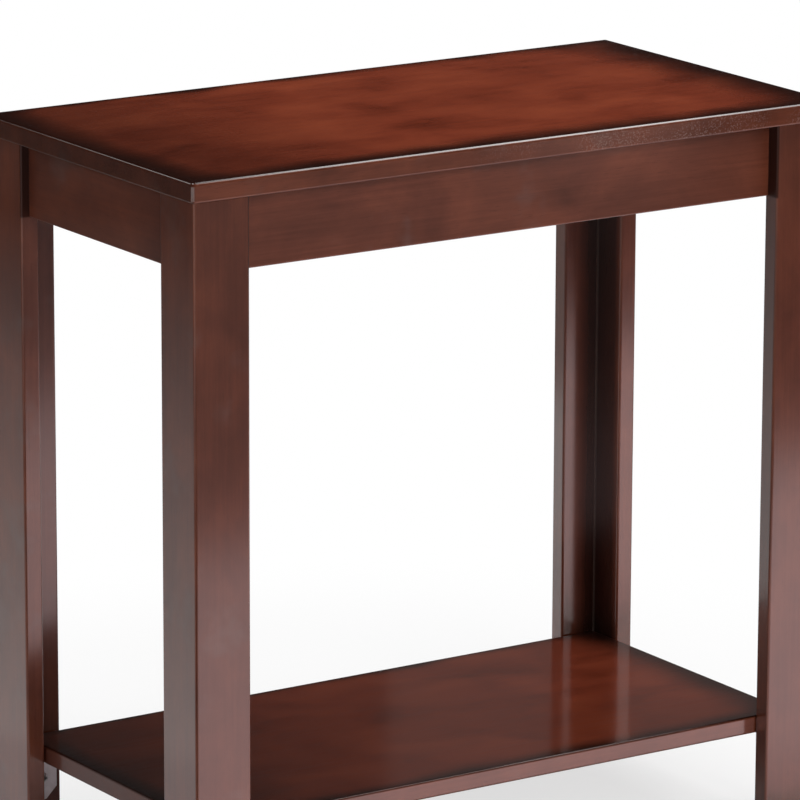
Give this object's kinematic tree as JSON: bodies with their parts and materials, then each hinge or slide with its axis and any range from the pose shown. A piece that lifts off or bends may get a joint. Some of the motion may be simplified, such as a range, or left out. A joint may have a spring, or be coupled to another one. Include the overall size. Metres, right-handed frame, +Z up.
{
  "type": "end table with shelf",
  "caption": "Narrow end table: thin rectangular top with eased edges on L-section legs, set-back aprons between them and a low shelf held inside the legs.",
  "frame": {"origin": "on the floor, under the middle of the top", "axes": "+X along the long side, towards the viewer's right; +Y from front to back; +Z up"},
  "size_m": [0.61, 0.32, 0.61],
  "materials": {
    "top_finish": "dark cherry stain under clear gloss lacquer, burnished darker along the edges",
    "shelf_finish": "dark cherry stain under clear gloss lacquer, burnished darker along the edges",
    "apron_finish": "dark cherry stain under clear gloss lacquer, lengthwise grain",
    "leg_finish": "dark cherry stain under clear gloss lacquer, upright grain",
    "raw_hardwood": "planed, unfinished",
    "zinc_plate": "zinc plated stamped sheet",
    "screw_steel": "zinc plated"
  },
  "bodies": {
    "root": {"top_panel": "top_finish", "shelf_panel": "shelf_finish", "front_apron": "apron_finish", "back_apron": "apron_finish", "left_apron": "apron_finish", "right_apron": "apron_finish", "front_left_leg_face_board": "leg_finish", "front_left_leg_side_board": "leg_finish", "front_left_corner_block": "raw_hardwood", "front_left_shelf_bracket": "zinc_plate", "front_right_leg_face_board": "leg_finish", "front_right_leg_side_board": "leg_finish", "front_right_corner_block": "raw_hardwood", "front_right_shelf_bracket": "zinc_plate", "back_left_leg_face_board": "leg_finish", "back_left_leg_side_board": "leg_finish", "back_left_corner_block": "raw_hardwood", "back_left_shelf_bracket": "zinc_plate", "back_right_leg_face_board": "leg_finish", "back_right_leg_side_board": "leg_finish", "back_right_corner_block": "raw_hardwood", "back_right_shelf_bracket": "zinc_plate", "top_screws": "screw_steel", "bracket_leg_screws": "screw_steel", "bracket_shelf_screws": "screw_steel"}
  },
  "joints": []
}
